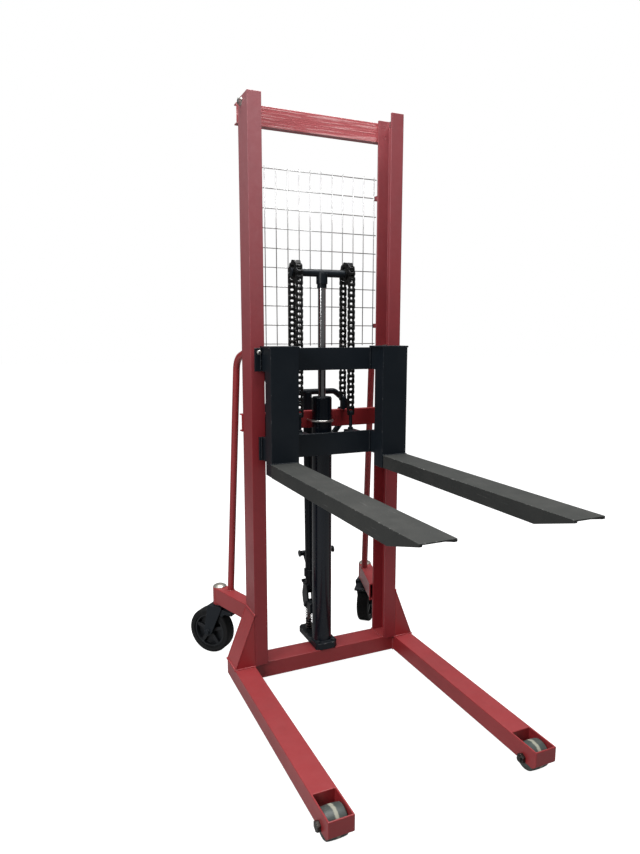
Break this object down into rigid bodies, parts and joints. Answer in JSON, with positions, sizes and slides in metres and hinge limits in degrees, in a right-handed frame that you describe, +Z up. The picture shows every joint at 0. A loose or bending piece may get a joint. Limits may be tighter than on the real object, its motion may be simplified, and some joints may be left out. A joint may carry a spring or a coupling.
{
  "type": "walkie stacker",
  "caption": "Manual walkie stacker: fixed mast, chain-lifted fork carriage on a hydraulic ram, straddle legs, swivel casters, hand pump with tiller and foot pedal.",
  "frame": {"origin": "centre of the machine's footprint, on the floor", "axes": "+Z up, -Y the way the forks point, +X the machine's left to right seen from the fork side"},
  "size_m": [0.8516, 1.4256, 2.019],
  "materials": {
    "red_paint": "satin",
    "black_paint": "satin",
    "fork_paint": "matte",
    "zinc": "bright zinc",
    "mesh_wire": "dull zinc",
    "chrome_rod": "polished",
    "chain_steel": "oiled",
    "roller_steel": "machined",
    "spring_steel": "bright",
    "tyre": "matte",
    "hub": "satin",
    "toe_roller": "worn"
  },
  "bodies": {
    "frame": {"upright_left": "red_paint", "upright_right": "red_paint", "leg_left": "red_paint", "leg_right": "red_paint", "lower_crossbeam": "red_paint", "gussets": "red_paint", "top_beam": "red_paint", "middle_brace": "red_paint", "frame_bolts": "zinc", "mesh_guard": "mesh_wire", "mesh_clips": "zinc", "caster_arm_left": "red_paint", "caster_arm_right": "red_paint", "push_handles": "red_paint", "cylinder_barrel": "black_paint", "gland_nut": "black_paint", "barrel_clamp": "zinc", "base_block": "black_paint", "pump_bracket": "black_paint", "pump_spring": "spring_steel", "toe_axles": "zinc", "rear_chain_anchors": "red_paint", "rear_chains": "chain_steel", "kingpin_caps": "zinc"},
    "ram": {"ram_rod": "chrome_rod", "crosshead": "black_paint", "top_chains": "chain_steel", "front_chains": "chain_steel"},
    "sprocket_left": {"sprocket_left": "chain_steel"},
    "sprocket_right": {"sprocket_right": "chain_steel"},
    "carriage": {"carriage_upper_bar": "black_paint", "carriage_lower_bar": "black_paint", "shank_left": "black_paint", "shank_right": "black_paint", "fork_left": "fork_paint", "fork_right": "fork_paint", "roller_plates": "black_paint", "carriage_bolts": "zinc", "front_chain_anchors": "black_paint"},
    "upper_roller_left": {"upper_mast_roller_left": "roller_steel"},
    "lower_roller_left": {"lower_mast_roller_left": "roller_steel"},
    "caster_left": {"caster_fork_left": "black_paint"},
    "wheel_left": {"caster_hub_left": "hub", "caster_tyre_left": "tyre"},
    "brake_left": {"brake_pedal_left": "black_paint"},
    "toe_roller_left": {"toe_roller_left": "toe_roller"},
    "upper_roller_right": {"upper_mast_roller_right": "roller_steel"},
    "lower_roller_right": {"lower_mast_roller_right": "roller_steel"},
    "caster_right": {"caster_fork_right": "black_paint"},
    "wheel_right": {"caster_hub_right": "hub", "caster_tyre_right": "tyre"},
    "brake_right": {"brake_pedal_right": "black_paint"},
    "toe_roller_right": {"toe_roller_right": "toe_roller"},
    "tiller": {"tiller": "black_paint", "foot_pedal": "black_paint"},
    "pump_roller": {"pump_roller": "roller_steel"},
    "release_lever": {"release_handle": "black_paint"},
    "pull_rod": {"release_rod": "black_paint"},
    "valve_lever": {"valve_lever": "black_paint"},
    "plunger": {"pump_plunger": "black_paint"}
  },
  "joints": [
    {"name": "ram_lift", "type": "slide", "parent": "frame", "child": "ram", "axis": [0, 0, 1], "range_m": [-0.381, 0.381], "deforming": ["rear_chains", "top_chains"]},
    {"name": "carriage_lift", "type": "slide", "parent": "ram", "child": "carriage", "axis": [0, 0, 1], "range_m": [-0.381, 0.381], "deforming": ["front_chains"]},
    {"name": "sprocket_spin_left", "type": "hinge", "parent": "ram", "child": "sprocket_left", "pos_m": [-0.1, 0.34019, 1.471], "axis": [1, 0, 0], "range_deg": [-655.05, 655.05]},
    {"name": "sprocket_spin_right", "type": "hinge", "parent": "ram", "child": "sprocket_right", "pos_m": [0.1, 0.34019, 1.471], "axis": [1, 0, 0], "range_deg": [-655.05, 655.05]},
    {"name": "upper_roller_spin_left", "type": "hinge", "parent": "carriage", "child": "upper_roller_left", "pos_m": [-0.261, 0.32819, 1.18], "axis": [1, 0, 0], "range_deg": [-1065.36, 1065.36]},
    {"name": "lower_roller_spin_left", "type": "hinge", "parent": "carriage", "child": "lower_roller_left", "pos_m": [-0.261, 0.32819, 0.9], "axis": [1, 0, 0], "range_deg": [-1065.36, 1065.36]},
    {"name": "upper_roller_spin_right", "type": "hinge", "parent": "carriage", "child": "upper_roller_right", "pos_m": [0.261, 0.32819, 1.18], "axis": [1, 0, 0], "range_deg": [-1065.36, 1065.36]},
    {"name": "lower_roller_spin_right", "type": "hinge", "parent": "carriage", "child": "lower_roller_right", "pos_m": [0.261, 0.32819, 0.9], "axis": [1, 0, 0], "range_deg": [-1065.36, 1065.36]},
    {"name": "caster_swivel_left", "type": "hinge", "parent": "frame", "child": "caster_left", "pos_m": [-0.32394, 0.60319, 0.211], "axis": [0, 0, 1], "continuous": true},
    {"name": "wheel_spin_left", "type": "hinge", "parent": "caster_left", "child": "wheel_left", "pos_m": [-0.35071, 0.63291, 0.09], "axis": [0.7431, 0.6691, 0], "continuous": true},
    {"name": "brake_pivot_left", "type": "hinge", "parent": "caster_left", "child": "brake_left", "pos_m": [-0.3139, 0.59204, 0.183], "axis": [0.7431, 0.6691, 0], "range_deg": [0, 8]},
    {"name": "toe_spin_left", "type": "hinge", "parent": "frame", "child": "toe_roller_left", "pos_m": [-0.323, -0.44981, 0.04], "axis": [1, 0, 0], "continuous": true},
    {"name": "caster_swivel_right", "type": "hinge", "parent": "frame", "child": "caster_right", "pos_m": [0.32394, 0.60319, 0.211], "axis": [0, 0, 1], "continuous": true},
    {"name": "wheel_spin_right", "type": "hinge", "parent": "caster_right", "child": "wheel_right", "pos_m": [0.35071, 0.63291, 0.09], "axis": [0.7431, -0.6691, 0], "continuous": true},
    {"name": "brake_pivot_right", "type": "hinge", "parent": "caster_right", "child": "brake_right", "pos_m": [0.3139, 0.59204, 0.183], "axis": [0.7431, -0.6691, 0], "range_deg": [0, 8]},
    {"name": "toe_spin_right", "type": "hinge", "parent": "frame", "child": "toe_roller_right", "pos_m": [0.323, -0.44981, 0.04], "axis": [1, 0, 0], "continuous": true},
    {"name": "tiller_pump", "type": "hinge", "parent": "frame", "child": "tiller", "pos_m": [-0.012, 0.40619, 0.226], "axis": [-1, 0, 0], "range_deg": [0, 50], "stiffness_Nm_per_rad": 45, "springref_deg": -20.05},
    {"name": "plunger_stroke", "type": "slide", "parent": "frame", "child": "plunger", "axis": [0, 0, -1], "range_m": [0, 0.029], "deforming": ["pump_spring"]},
    {"name": "pump_roller_spin", "type": "hinge", "parent": "tiller", "child": "pump_roller", "pos_m": [-0.012, 0.43819, 0.2223], "axis": [1, 0, 0], "continuous": true},
    {"name": "release_squeeze", "type": "hinge", "parent": "tiller", "child": "release_lever", "pos_m": [-0.012, 0.4838, 0.925], "axis": [-1, 0, 0], "range_deg": [0, 15], "stiffness_Nm_per_rad": 1.5, "springref_deg": -17.19},
    {"name": "pull_rod_lift", "type": "slide", "parent": "tiller", "child": "pull_rod", "axis": [0, 0, 1], "range_m": [0, 0.0037]},
    {"name": "valve_pivot", "type": "hinge", "parent": "tiller", "child": "valve_lever", "pos_m": [-0.012, 0.44419, 0.262], "axis": [1, 0, 0], "range_deg": [0, 10.6]}
  ],
  "couplings": [
    {"joint": "carriage_lift", "follows": "ram_lift", "ratio": 1},
    {"joint": "sprocket_spin_left", "follows": "ram_lift", "rad_per_m": -29.984},
    {"joint": "upper_roller_spin_left", "follows": "ram_lift", "rad_per_m": 48.781},
    {"joint": "lower_roller_spin_left", "follows": "ram_lift", "rad_per_m": -48.781},
    {"joint": "sprocket_spin_right", "follows": "ram_lift", "rad_per_m": -29.984},
    {"joint": "upper_roller_spin_right", "follows": "ram_lift", "rad_per_m": 48.781},
    {"joint": "lower_roller_spin_right", "follows": "ram_lift", "rad_per_m": -48.781},
    {"joint": "plunger_stroke", "follows": "tiller_pump", "m_per_rad": 0.032},
    {"joint": "pull_rod_lift", "follows": "release_squeeze", "m_per_rad": 0.014},
    {"joint": "valve_pivot", "follows": "release_squeeze", "ratio": 0.7}
  ]
}
